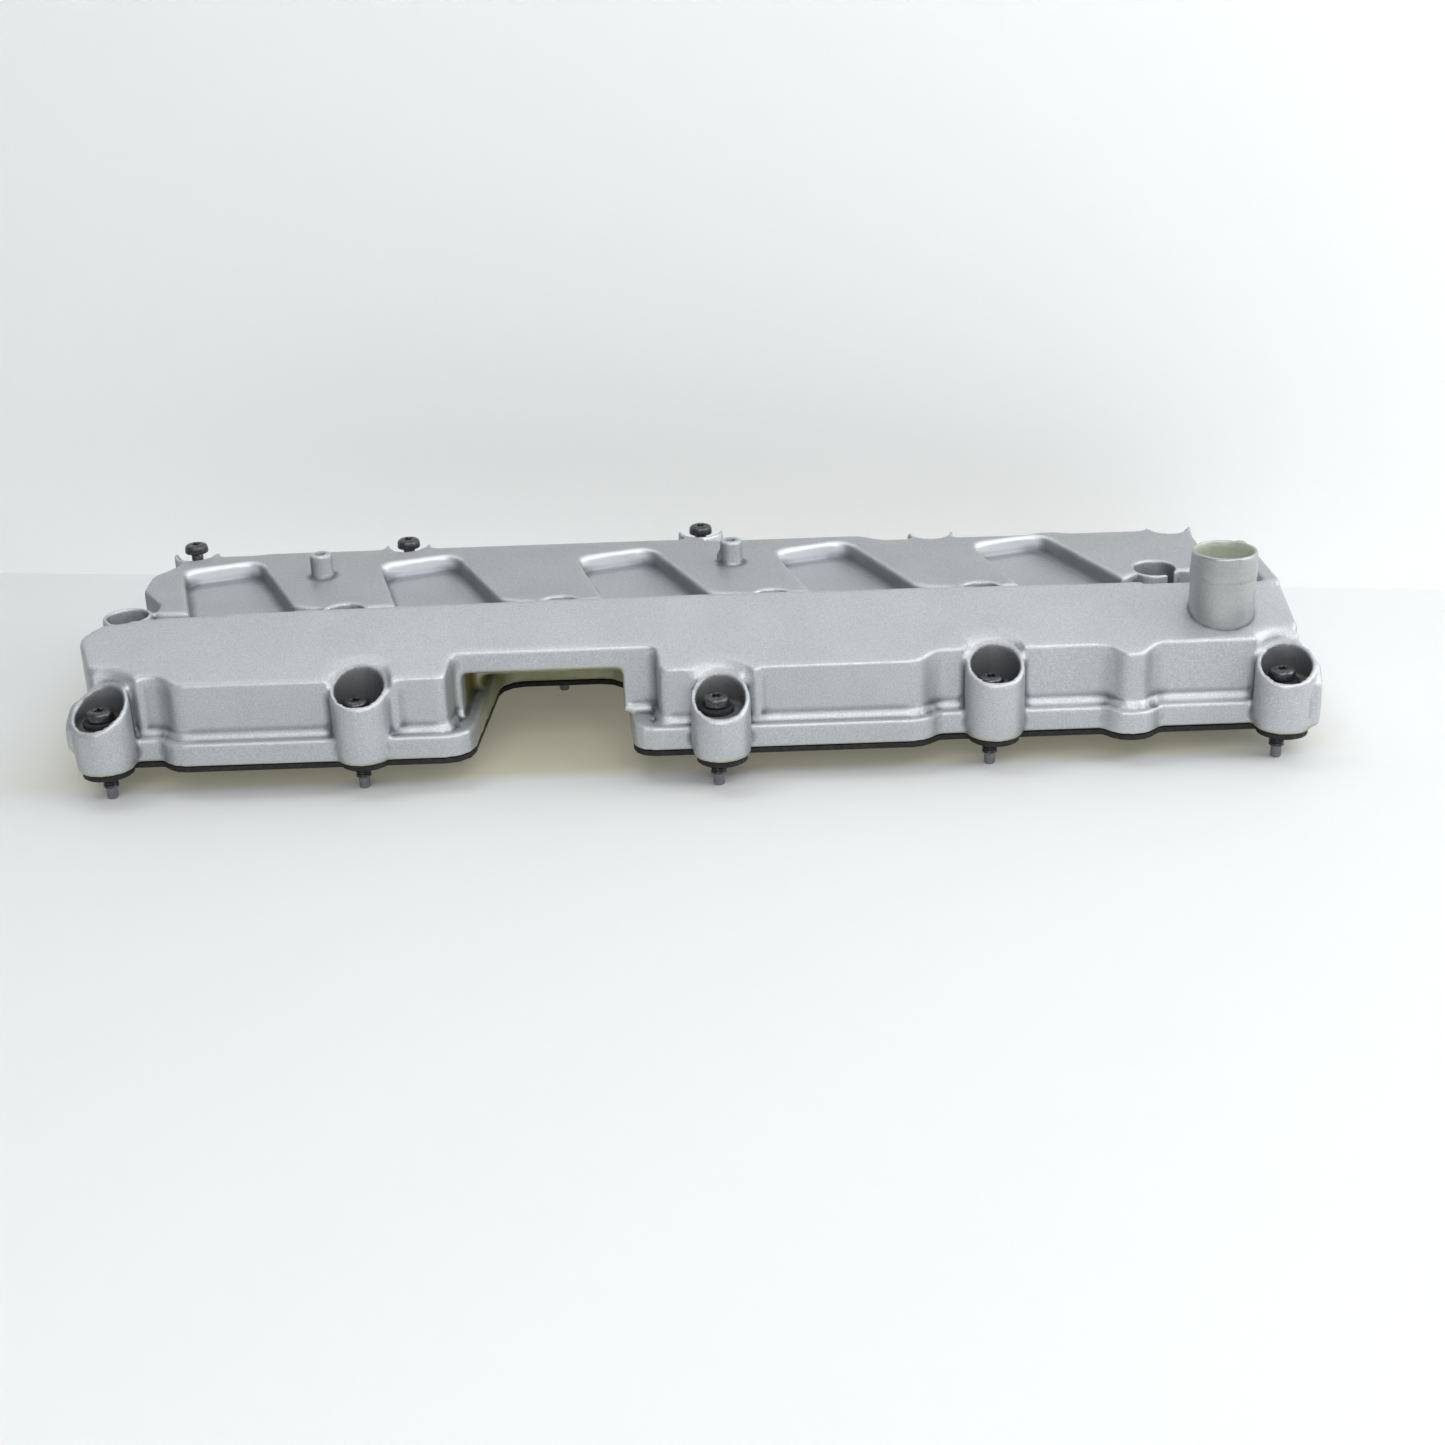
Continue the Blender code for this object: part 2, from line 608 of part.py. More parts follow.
def build_baffle(steel):
    """Sheet-metal floor of the oil-separator chamber."""
    x0, x1, y0, y1 = BAFFLE_BOX
    plate = prism('baffle_plate', [(x0, y0, 3), (x1, y0, 3), (x1, y1, 3), (x0, y1, 3)],
                  BAFFLE_Z, BAFFLE_Z + BAFFLE_T)
    holes = [column('hole', xy, 2.2, BAFFLE_Z - 2, BAFFLE_Z + 5, SMALL_SEGMENTS) for xy in BAFFLE_SCREWS]
    slots = []
    for x in (45.0, 67.0, 89.0, 135.0, 157.0, 179.0):
        slots.append(prism('slot', [(x - 7, -54.5, 2), (x + 7, -54.5, 2), (x + 7, -50.5, 2),
                                    (x - 7, -50.5, 2)], BAFFLE_Z - 2, BAFFLE_Z + 5))
    cut(plate, join('openings', holes + slots))
    weld(plate)
    finish(plate, steel)
    for k, (x, y) in enumerate(BAFFLE_SCREWS):
        head_z = BAFFLE_Z - GAP
        profile = [(0, head_z + 6.5), (1.5, head_z + 6.5), (1.5, head_z), (3.4, head_z),
                   (3.0, head_z - 2.2), (0, head_z - 2.4)]
        screw = turned('baffle_screw_%d' % (k + 1), profile)
        screw.location = (x * MM, y * MM, 0)
        finish(screw, steel)


# ---- bolts ------------------------------------------------------------------
def bolt_mesh(steel, length):
    """M6 pan-head bolt with a socket, a neck and a dog point; z = 0 under its head."""
    thread_end = DOG_L - length
    profile = [(0, 1.2), (1.9, 1.4), (2.3, 3.8), (4.2, 3.8), (5.2, 2.4), (5.2, 0), (NECK_R, 0),
               (NECK_R, -NECK_L), (3.0, -NECK_L - 0.8), (3.0, thread_end),
               (2.1, thread_end - 0.7), (2.1, 0.4 - length), (1.7, -length), (0, -length)]
    bolt = finish(turned('bolt', profile), steel)
    mesh = bolt.data
    bpy.data.objects.remove(bolt)
    return mesh


def sleeve_mesh(steel):
    """Tube round the neck of a bolt; z = 0 under the bolt's head."""
    profile = [(SLEEVE_BORE_R, -GAP - SLEEVE_L), (SLEEVE_BORE_R, -GAP), (SLEEVE_R, -GAP),
               (SLEEVE_R, -GAP - SLEEVE_L)]
    sleeve = finish(turned('sleeve', profile, closed=True), steel)
    mesh = sleeve.data
    bpy.data.objects.remove(sleeve)
    return mesh


def grommet_mesh(rubber):
    """Flanged rubber bush that sits in the well's floor."""
    profile = [(3.6, -SEAT_Z + 0.8), (3.6, GROMMET_T), (6.8, GROMMET_T), (6.8, GAP), (4.4, GAP),
               (4.4, -SEAT_Z + 0.8)]
    grommet = finish(turned('grommet', profile, closed=True), rubber)
    mesh = grommet.data
    bpy.data.objects.remove(grommet)
    return mesh


def place(name, mesh, location, parent=None):
    obj = bpy.data.objects.new(name, mesh)
    bpy.context.scene.collection.objects.link(obj)
    obj.location = location
    obj.parent = parent
    return obj


def bolt_lift(name):
    """How far a bolt rests above its seat."""
    row, number = name.split('_')
    return REAR_LIFTED.get(int(number), 0.0) if row == 'rear' else 0.0


def build_bolts(black_steel, rubber):
    """Grommet, sleeve and bolt for every well."""
    bolt = bolt_mesh(black_steel, BOLT_L)
    short_bolt = bolt_mesh(black_steel, MID_BOLT_L)
    sleeve = sleeve_mesh(black_steel)
    grommet = grommet_mesh(rubber)
    for name, (x, y) in bolt_places():
        place('grommet_' + name, grommet, Vector((x, y, SEAT_Z)) * MM)
        lift = bolt_lift(name)
        slide = bpy.data.objects.new('slide_' + name, None)
        bpy.context.scene.collection.objects.link(slide)
        slide.location = Vector((x, y, SEAT_Z + GROMMET_T + GAP + lift)) * MM
        place('sleeve_' + name, sleeve, (0, 0, 0), slide)
        place('bolt_' + name, short_bolt if name.startswith('mid') else bolt, (0, 0, 0), slide)


def main():
    for obj in list(bpy.data.objects):
        bpy.data.objects.remove(obj)
    paint = material('silver_powder_coat', (0.44, 0.47, 0.49), 0.5, 0.35)
    machined = material('machined_spout', (0.50, 0.50, 0.48), 0.4, 0.5)
    rubber = material('black_rubber', (0.02, 0.02, 0.02), 0.8, 0.0)
    black_steel = material('black_steel', (0.05, 0.05, 0.055), 0.4, 0.8)
    zinc = material('zinc_sheet', (0.55, 0.56, 0.55), 0.4, 0.9)
    build_casting(paint)
    build_gasket(rubber)
    build_spout(machined)
    build_baffle(zinc)
    build_bolts(black_steel, rubber)
    for obj in bpy.data.objects:
        if obj.parent is None:
            obj.location -= Vector(ORIGIN) * MM


main()
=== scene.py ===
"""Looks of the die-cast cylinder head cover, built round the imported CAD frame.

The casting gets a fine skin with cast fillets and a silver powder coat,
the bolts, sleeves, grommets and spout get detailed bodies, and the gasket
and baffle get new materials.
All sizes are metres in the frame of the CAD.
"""

import math

import bmesh
import bpy
import numpy as np
from mathutils import Matrix, Vector
from mathutils.bvhtree import BVHTree


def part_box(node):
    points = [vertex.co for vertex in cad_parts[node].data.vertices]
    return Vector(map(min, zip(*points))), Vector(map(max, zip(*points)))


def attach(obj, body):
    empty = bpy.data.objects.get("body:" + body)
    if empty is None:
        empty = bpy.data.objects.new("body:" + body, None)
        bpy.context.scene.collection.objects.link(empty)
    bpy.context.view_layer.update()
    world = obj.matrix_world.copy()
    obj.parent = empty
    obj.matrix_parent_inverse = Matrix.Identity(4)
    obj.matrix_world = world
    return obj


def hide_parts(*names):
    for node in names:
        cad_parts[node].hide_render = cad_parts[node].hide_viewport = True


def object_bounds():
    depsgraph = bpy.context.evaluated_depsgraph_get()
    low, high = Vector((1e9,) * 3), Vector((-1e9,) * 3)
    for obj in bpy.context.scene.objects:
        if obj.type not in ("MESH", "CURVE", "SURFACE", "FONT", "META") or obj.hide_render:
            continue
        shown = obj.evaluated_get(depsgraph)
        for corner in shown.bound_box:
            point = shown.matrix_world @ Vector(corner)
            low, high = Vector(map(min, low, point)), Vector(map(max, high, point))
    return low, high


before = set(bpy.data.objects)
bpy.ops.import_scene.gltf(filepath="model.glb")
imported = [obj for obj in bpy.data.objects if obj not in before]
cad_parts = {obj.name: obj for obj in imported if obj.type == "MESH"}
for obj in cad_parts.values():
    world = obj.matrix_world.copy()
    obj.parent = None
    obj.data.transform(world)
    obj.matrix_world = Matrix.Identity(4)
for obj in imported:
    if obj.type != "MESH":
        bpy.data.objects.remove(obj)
CAD_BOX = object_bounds()

MM = 0.001
FACE_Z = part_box("cover_casting")[0].z       # sealing face of the casting
FLOOR_Z = CAD_BOX[0].z - 0.05 * MM          # the cover stands on its bolts


def centre(node):
    low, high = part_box(node)
    return (low + high) / 2


MIDDLE = centre("bolt_mid_3")
# the casting was designed from this point: bore plane of the middle cylinder, row of middle bolts
DATUM = Vector((MIDDLE.x + 43.5 * MM, MIDDLE.y - 5.2 * MM, FACE_Z))

BOLT_NAMES = sorted(n[len("bolt_"):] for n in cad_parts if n.startswith("bolt_"))
SCREW_BOSSES = [(DATUM.x - 150.0 * MM, DATUM.y + 48.0 * MM), (DATUM.x + 30.0 * MM, DATUM.y + 47.6 * MM)]
WELL_SHIFT = 1.6 * MM               # front wells 2 to 5 are this much off their bolts
WELL_FLARE = 1.045                  # the cast wells are a little wider than drawn
WELL_R = 11.0 * MM
FRONT_BORE_R = 9.7 * MM
OTHER_BORE_R = 8.5 * MM
SCREW_HOLE_R = 2.2 * MM


# ---- small helpers ----------------------------------------------------------
def new_object(name, bm, materials):
    mesh = bpy.data.meshes.new(name)
    bm.to_mesh(mesh)
    bm.free()
    obj = bpy.data.objects.new(name, mesh)
    bpy.context.scene.collection.objects.link(obj)
    for material in materials:
        mesh.materials.append(material)
    return obj


def shade(obj, angle=35.0):
    obj.data.shade_smooth()
    obj.data.set_sharp_from_angle(angle=math.radians(angle))


def use(piece, node, body):
    """The piece stands for a CAD node and rides on its body."""
    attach(piece, body)
    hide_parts(node)


def apply_modifiers(obj):
    graph = bpy.context.evaluated_depsgraph_get()
    mesh = bpy.data.meshes.new_from_object(obj.evaluated_get(graph))
    obj.modifiers.clear()
    obj.data = mesh


def read_points(mesh):
    points = np.empty(len(mesh.vertices) * 3)
    mesh.vertices.foreach_get("co", points)
    return points.reshape(-1, 3)


def revolve(bm, profile, segments, closed=False, swell=None, material=0):
    """Turn (radius, z) points about Z; swell(k, angle) scales the radius of ring k."""
    rings = []
    for k, (radius, z) in enumerate(profile):
        if radius == 0:
            rings.append([bm.verts.new((0, 0, z * MM))])
            continue
        ring = []
        for s in range(segments):
            angle = 2 * math.pi * s / segments
            r = radius * (swell(k, angle) if swell else 1.0)
            ring.append(bm.verts.new((r * math.cos(angle) * MM, r * math.sin(angle) * MM, z * MM)))
        rings.append(ring)
    pairs = list(zip(rings, rings[1:]))
    if closed:
        pairs.append((rings[-1], rings[0]))
    for a, b in pairs:
        for s in range(segments):
            t = (s + 1) % segments
            corner = [a[s % len(a)], a[t % len(a)], b[t % len(b)], b[s % len(b)]]
            face = bm.faces.new(list(dict.fromkeys(corner)))
            face.material_index = material
    bmesh.ops.recalc_face_normals(bm, faces=bm.faces)


# ---- materials --------------------------------------------------------------
class Look:
    """A node material with one Principled shader and a few shorthands."""

    def __init__(self, name, roughness=0.5, metallic=0.0):
        self.material = bpy.data.materials.new(name)
        self.material.use_nodes = True
        self.tree = self.material.node_tree
        self.shader = self.tree.nodes["Principled BSDF"]
        self.shader.inputs["Roughness"].default_value = roughness
        self.shader.inputs["Metallic"].default_value = metallic
        self.place = self.add("ShaderNodeTexCoord").outputs["Object"]

    def add(self, kind, **settings):
        node = self.tree.nodes.new(kind)
        for key, value in settings.items():
            setattr(node, key, value)
        return node

    def feed(self, socket, value):
        if isinstance(value, bpy.types.NodeSocket):
            self.tree.links.new(value, socket)
        else:
            socket.default_value = value

    def noise(self, size, detail=2.0, roughness=0.5):
        """Noise from 0 to 1 whose features are about size metres across."""
        node = self.add("ShaderNodeTexNoise")
        self.feed(node.inputs["Vector"], self.place)
        node.inputs["Scale"].default_value = 1.0 / size
        node.inputs["Detail"].default_value = detail
        node.inputs["Roughness"].default_value = roughness
        return node.outputs["Fac"]

    def span(self, value, low, high, to_low=0.0, to_high=1.0):
        node = self.add("ShaderNodeMapRange")
        self.feed(node.inputs["Value"], value)
        for key, number in (("From Min", low), ("From Max", high), ("To Min", to_low), ("To Max", to_high)):
            node.inputs[key].default_value = number
        return node.outputs["Result"]

    def mix(self, factor, a, b, blend="MIX"):
        node = self.add("ShaderNodeMix", data_type="RGBA", blend_type=blend)
        self.feed(node.inputs["Factor"], factor)
        self.feed(node.inputs["A"], a)
        self.feed(node.inputs["B"], b)
        return node.outputs["Result"]

    def attribute(self, name):
        return self.add("ShaderNodeAttribute", attribute_name=name).outputs["Fac"]

    def axes(self, vector):
        """The X, Y and Z of a vector, as sockets."""
        node = self.add("ShaderNodeSeparateXYZ")
        self.feed(node.inputs[0], vector)
        return node.outputs

    def maths(self, operation, a, b):
        node = self.add("ShaderNodeMath", operation=operation)
        self.feed(node.inputs[0], a)
        self.feed(node.inputs[1], b)
        return node.outputs["Value"]

    def product(self, first, *others):
        for other in others:
            first = self.maths("MULTIPLY", first, other)
        return first

    def bump(self, height, distance, strength=1.0):
        node = self.add("ShaderNodeBump")
        node.inputs["Distance"].default_value = distance
        node.inputs["Strength"].default_value = strength
        self.feed(node.inputs["Height"], height)
        self.feed(self.shader.inputs["Normal"], node.outputs["Normal"])

    def base(self, colour):
        self.feed(self.shader.inputs["Base Color"], colour)

    def rough(self, value):
        self.feed(self.shader.inputs["Roughness"], value)


def grey(value, tint=(1.0, 1.0, 1.0)):
    return (value * tint[0], value * tint[1], value * tint[2], 1.0)


SILVER = (0.965, 1.0, 1.035)
OLIVE = (1.0, 1.0, 0.62)


def flaked_silver(look):
    """Speckled silver tone, darker where the coat is seen at a flat angle."""
    sparkle = look.span(look.noise(0.55 * MM, 3.0, 0.7), 0.3, 0.7)
    tone = look.mix(sparkle, grey(0.44, SILVER), grey(0.66, SILVER))
    cloud = look.span(look.noise(30 * MM, 3.0), 0.35, 0.65, 0.97, 1.03)
    cloud_colour = look.add("ShaderNodeCombineColor")
    for channel in ("Red", "Green", "Blue"):
        look.feed(cloud_colour.inputs[channel], cloud)
    tone = look.mix(1.0, tone, cloud_colour.outputs["Color"], "MULTIPLY")
    facing = look.add("ShaderNodeLayerWeight").outputs["Facing"]
    flop = look.span(facing, 0.36, 0.62)
    return look.mix(flop, tone, look.mix(1.0, tone, grey(0.83), "MULTIPLY"))


def paint_recess_light_and_shade(look, tone, normal, spot):
    """Painted light on the recesses' far walls, and painted shade on their right walls."""
    toward = look.span(normal["Y"], -0.15, -0.6)
    rear = look.span(spot["Y"], DATUM.y + 50 * MM, DATUM.y + 58 * MM)
    # far walls facing the front get a paler tone: painted light
    tone = look.mix(look.product(toward, rear), tone, grey(0.85, SILVER))
    leftward = look.span(normal["X"], -0.4, -0.8, 0.0, 0.75)
    plateau = look.span(spot["Y"], DATUM.y + 8 * MM, DATUM.y + 11 * MM)
    # right walls facing left get a dark tone: painted shade
    return look.mix(look.product(leftward, plateau), tone, grey(0.18, SILVER))


def edge_wear_highlight_and_hollow_shade(look, tone):
    """Pale edges, for their thin worn coat and a painted highlight; dark hollows, a painted shade."""
    depth = look.attribute("hollow")
    # pale on the edges: wear of the thin coat and a painted highlight
    tone = look.mix(look.span(depth, -0.15, -0.5, 0.0, 0.35), tone, grey(0.74, SILVER))
    # dark in the concave hollows: painted shade
    return look.mix(look.span(depth, 0.06, 0.3, 0.0, 0.9), tone, grey(0.15, (0.92, 1.0, 1.12)))


def bay_chromate_and_shade(look, tone, normal, spot):
    """Bare chromate on the left wall of the bay, darkened with painted shade under the bridge."""
    soft = 2 * MM
    masks = [look.span(normal["X"], 0.2, 0.5),
             look.span(spot["X"], DATUM.x - 82 * MM, DATUM.x - 82 * MM + soft),
             look.span(spot["X"], DATUM.x - 60 * MM, DATUM.x - 63 * MM, 0.0, 0.9)]
    for axis, low, high in (("Y", DATUM.y - 56 * MM, DATUM.y - 14 * MM),
                            ("Z", FACE_Z + 9 * MM, FACE_Z + 25 * MM)):
        masks.append(look.span(spot[axis], low, low + soft))
        masks.append(look.span(spot[axis], high, high - soft))
    # dark olive: bare chromate with painted shade
    return look.mix(look.product(*masks), tone, (0.26, 0.235, 0.05, 1.0))


def powder_coat():
    """Silver powder coat outside, bare chromate inside, dark bare metal and painted shade in the bores."""
    look = Look("silver_powder_coat", metallic=0.75)
    normal = look.axes(look.add("ShaderNodeNewGeometry").outputs["Normal"])
    spot = look.axes(look.place)
    tone = paint_recess_light_and_shade(look, flaked_silver(look), normal, spot)
    tone = bay_chromate_and_shade(look, edge_wear_highlight_and_hollow_shade(look, tone), normal, spot)
    # dark in the bolt wells and screw holes: their bare metal with painted shade
    tone = look.mix(look.product(look.attribute("bore"), 0.8), tone, grey(0.16, (0.98, 1.0, 1.03)))
    blotch = look.span(look.noise(9 * MM, 4.0), 0.35, 0.65)
    chromate = look.mix(blotch, grey(0.42, OLIVE), grey(0.52, (0.97, 1.0, 0.86)))
    look.base(look.mix(look.attribute("inside"), tone, chromate))
    look.rough(look.span(look.noise(0.8 * MM, 2.0), 0.3, 0.7, 0.42, 0.58))
    peel = look.noise(0.9 * MM, 2.0)
    grain = look.noise(0.35 * MM, 2.0)
    look.bump(look.maths("ADD", peel, look.product(grain, 0.6)), 0.13 * MM, 0.7)
    return look.material


def black_rubber():
    look = Look("black_rubber", metallic=0.0)
    dust = look.span(look.noise(1.4 * MM, 4.0), 0.45, 0.75)
    look.base(look.mix(dust, grey(0.014), grey(0.032, (1.0, 1.0, 1.03))))
    look.shader.inputs["Specular IOR Level"].default_value = 0.3
    look.rough(look.span(look.noise(0.7 * MM), 0.3, 0.7, 0.5, 0.8))
    look.bump(look.noise(0.4 * MM, 3.0), 0.05 * MM, 0.5)
    return look.material


def black_steel():
    """Phosphated and oiled steel, worn bright on its edges."""
    look = Look("black_steel", metallic=0.85)
    mottle = look.span(look.noise(0.8 * MM, 4.0), 0.35, 0.7)
    tone = look.mix(mottle, grey(0.05, (0.95, 1.0, 1.12)), grey(0.11, (0.95, 1.0, 1.12)))
    pointed = look.add("ShaderNodeNewGeometry").outputs["Pointiness"]
    tone = look.mix(look.span(pointed, 0.52, 0.6, 0.0, 0.5), tone, grey(0.35))
    look.base(tone)
    look.rough(look.span(look.noise(0.5 * MM, 3.0), 0.3, 0.7, 0.25, 0.45))
    look.bump(look.noise(0.25 * MM, 3.0), 0.03 * MM, 0.5)
    return look.material


def turned_metal(name, low, high, tint, metallic=0.45, ring=0.35):
    """Machined metal with fine rings round the Z axis and a sandy grain."""
    look = Look(name, metallic=metallic)
    rings = look.add("ShaderNodeTexWave", wave_type="BANDS", bands_direction="Z", wave_profile="SAW")
    look.feed(rings.inputs["Vector"], look.place)
    rings.inputs["Scale"].default_value = 0.10 / MM
    rings.inputs["Distortion"].default_value = 0.4
    grain = look.span(look.noise(0.5 * MM, 3.0), 0.3, 0.7)
    streak = look.maths("ADD", look.product(rings.outputs["Fac"], ring), look.product(grain, 1.0 - ring))
    look.base(look.mix(streak, grey(low, tint), grey(high, tint)))
    look.rough(look.span(grain, 0.0, 1.0, 0.34, 0.5))
    look.bump(streak, 0.05 * MM, 0.5)
    return look.material


def zinc_sheet():
    look = Look("zinc_sheet", metallic=0.9)
    flake = look.span(look.noise(4 * MM, 4.0), 0.35, 0.65)
    look.base(look.mix(flake, grey(0.45, (1.0, 0.99, 0.93)), grey(0.62, (1.0, 0.99, 0.93))))
    look.rough(look.span(look.noise(1.2 * MM), 0.3, 0.7, 0.28, 0.45))
    look.bump(look.noise(0.6 * MM), 0.03 * MM, 0.4)
    return look.material


# ---- the casting ------------------------------------------------------------
FINE_VOXEL = 0.85 * MM
VOXEL = FINE_VOXEL


def welded_copy(name, node):
    """A CAD node's mesh as a new object, its split vertices merged again."""
    bm = bmesh.new()
    bm.from_mesh(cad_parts[node].data)
    bmesh.ops.remove_doubles(bm, verts=bm.verts, dist=0.01 * MM)
    return new_object(name, bm, [])


def rounds_for(count):
    """Rounds of smoothing that reach as far as count rounds on the fine skin."""
    return round(count * (FINE_VOXEL / VOXEL) ** 2)


def read_edges(mesh):
    edges = np.empty(len(mesh.edges) * 2, int)
    mesh.edges.foreach_get("vertices", edges)
    return edges.reshape(-1, 2)


def read_normals(mesh):
    normals = np.empty(len(mesh.vertices) * 3)
    mesh.vertices.foreach_get("normal", normals)
    return normals.reshape(-1, 3)


def relax(points, edges, weight, rounds):
    """Move every point towards the mean of its neighbours, by its weight."""
    a, b = edges.T
    count = len(points)
    degree = np.bincount(a, minlength=count) + np.bincount(b, minlength=count)
    for _ in range(rounds):
        mean = np.empty_like(points)
        for axis in range(3):
            mean[:, axis] = np.bincount(a, points[b, axis], count) + np.bincount(b, points[a, axis], count)
        mean /= degree[:, None]
        points += weight[:, None] * (mean - points)


def well_centres():
    """Axis of every bolt well, as (x, y)."""
    centres = []
    for name in BOLT_NAMES:
        at = centre("bolt_" + name)
        shift = WELL_SHIFT if name.startswith("front") and name != "front_1" else 0.0
        centres.append((at.x + shift, at.y))
    return np.array(centres)


def reach_from(points, x, y):
    """Distance of every point from an upright axis."""
    return np.hypot(points[:, 0] - x, points[:, 1] - y)


def bores():
    """Every dark round hole from above, as (x, y, radius)."""
    holes = [(x, y, SCREW_HOLE_R) for x, y in SCREW_BOSSES]
    for name, (x, y) in zip(BOLT_NAMES, well_centres()):
        holes.append((x, y, FRONT_BORE_R if name.startswith("front") else OTHER_BORE_R))
    return holes


def softness(points):
    """How much each point of the casting may be rounded, from 0 to 1."""
    height = points[:, 2] - FACE_Z
    weight = np.full(len(points), 0.55)
    weight[(points[:, 1] > DATUM.y + 8 * MM) & (height > 17 * MM)] = 1.0    # the plateau
    for x, y in well_centres():
        reach = reach_from(points, x, y)
        weight[reach < WELL_R + 1.6 * MM] = 0.35
        weight[reach < WELL_R - 0.4 * MM] = 0.12
    foot_step = (points[:, 1] < DATUM.y - 55 * MM) & (np.abs(height - 10 * MM) < 3.5 * MM)
    weight[foot_step] = 0.2
    for x, y in SCREW_BOSSES:
        weight[reach_from(points, x, y) < 6.5 * MM] = 0.15
    weight[height < 1.5 * MM] = 0.2
    return weight


def blend_roofs(points, edges):
    """Let the roof run smoothly into the rims of the front wells."""
    weight = np.zeros(len(points))
    for name, (x, y) in zip(BOLT_NAMES, well_centres()):
        if name.startswith("front"):
            reach = reach_from(points, x, y)
            behind = (reach > WELL_R) & (reach < 1.5 * WELL_R) & (points[:, 1] - y > 0.55 * reach)
            weight[behind & (points[:, 2] > FACE_Z + 24 * MM)] = 1.0
    relax(points, edges, weight, rounds_for(30))


def widen_wells(points):
    """Bring the front wells to their cast width, from nothing at the sealing face."""
    inner, outer = WELL_R + 1.0 * MM, WELL_R + 3.5 * MM
    for name, (x, y) in zip(BOLT_NAMES, well_centres()):
        if name.startswith("front"):
            fade = np.clip((outer - reach_from(points, x, y)) / (outer - inner), 0.0, 1.0)
            fade *= np.clip((points[:, 2] - FACE_Z) / (4 * MM), 0.0, 1.0)
            points[:, :2] += (points[:, :2] - (x, y)) * ((WELL_FLARE - 1.0) * fade)[:, None]


def store(mesh, name, values):
    """Keep one number per vertex as an attribute, blurred over its neighbours."""
    columns = values[:, None].repeat(3, axis=1)
    relax(columns, read_edges(mesh), np.ones(len(values)), 1)
    mesh.attributes.new(name, "FLOAT", "POINT").data.foreach_set("value", columns[:, 0].copy())


def mark_bores(mesh):
    """Vertex attribute: 1 in the bolt wells and in the small screw holes."""
    points = read_points(mesh)
    values = np.zeros(len(points))
    for x, y, radius in bores():
        values[(reach_from(points, x, y) < radius) & (points[:, 2] > FACE_Z + 17 * MM)] = 1.0
    store(mesh, "bore", values)


def mark_hollows(mesh):
    """Vertex attribute: millimetres under a smoothed copy; edges are negative."""
    points = read_points(mesh)
    smooth = points.copy()
    relax(smooth, read_edges(mesh), np.ones(len(points)), rounds_for(7))
    store(mesh, "hollow", ((smooth - points) * read_normals(mesh)).sum(axis=1) / MM)


def mark_inside(obj):
    """Vertex attribute: 1 on the bare surfaces under the cover, 0 outside."""
    mesh = obj.data
    graph = bpy.context.evaluated_depsgraph_get()
    tree = BVHTree.FromObject(obj, graph)
    starts = read_points(mesh) + read_normals(mesh) * 0.4 * MM
    values = np.zeros(len(starts))
    up, down = Vector((0, 0, 1)), Vector((0, 0, -1))
    for i, start in enumerate(starts):
        start = Vector(start)
        roofed = tree.ray_cast(start, up)[0] is not None
        if roofed and tree.ray_cast(start, down)[0] is None:
            values[i] = 1.0
    store(mesh, "inside", values)


def build_casting(paint):
    skin = welded_copy("cover_skin", "cover_casting")
    modifier = skin.modifiers.new("voxels", "REMESH")
    modifier.mode = "VOXEL"
    modifier.voxel_size = VOXEL
    apply_modifiers(skin)
    mesh = skin.data
    points = read_points(mesh)
    edges = read_edges(mesh)
    relax(points, edges, 0.6 * softness(points), rounds_for(16))
    blend_roofs(points, edges)
    widen_wells(points)
    mesh.vertices.foreach_set("co", points.ravel())
    mesh.update()
    mark_inside(skin)
    mark_bores(mesh)
    mark_hollows(mesh)
    mesh.materials.append(paint)
    mesh.shade_smooth()
    use(skin, "cover_casting", "cover")
    print("casting skin:", len(mesh.vertices), "points")


# ---- bolts, sleeves, grommets -----------------------------------------------
# sizes in millimetres, z from the underside of the bolt's head
HEAD_H = 3.8
NECK_R = 1.85
NECK_L = 9.8
THREAD_R = 3.0
THREAD_DEPTH = 0.45
THREAD_PITCH = 1.0
THREAD_STEPS = 6            # rings of points a turn
DOG_R = 2.1
DOG_L = 5.0
SOCKET_R = 1.9
LOBES = 6
LOBE_DEPTH = 0.36
SLEEVE_L = 9.3
FLANGE_T = 1.9              # rubber flange of a grommet
SEGMENTS = 36

HEAD_PROFILE = [
    (0, 1.3), (1.0, 1.35), (2.0, 1.5), (2.0, 3.55), (2.12, 3.75), (2.6, 3.86), (3.5, 3.8), (4.2, 3.55),
    (4.75, 3.1), (5.0, 2.5), (5.1, 1.6), (5.2, 0.9), (5.2, 0.25), (5.0, 0.0), (NECK_R + 0.4, 0.0),
    (NECK_R, -0.4), (NECK_R, -NECK_L), (2.4, -NECK_L - 0.5)]
SLEEVE_PROFILE = [
    (2.1, 0.2 - SLEEVE_L), (2.1, -0.5), (2.25, -0.3), (2.45, -0.3), (2.6, -0.5), (2.6, 0.2 - SLEEVE_L),
    (2.45, -SLEEVE_L), (2.25, -SLEEVE_L)]


def head_swell(k, angle):
    """How far ring k of the head is from round: the six-lobed socket."""
    wave = math.cos(LOBES * angle)
    lobed = SOCKET_R + LOBE_DEPTH * wave
    return {1: 0.9 + 0.15 * wave, 2: lobed / 2.0, 3: lobed / 2.0, 4: lobed / 1.95}.get(k, 1.0)


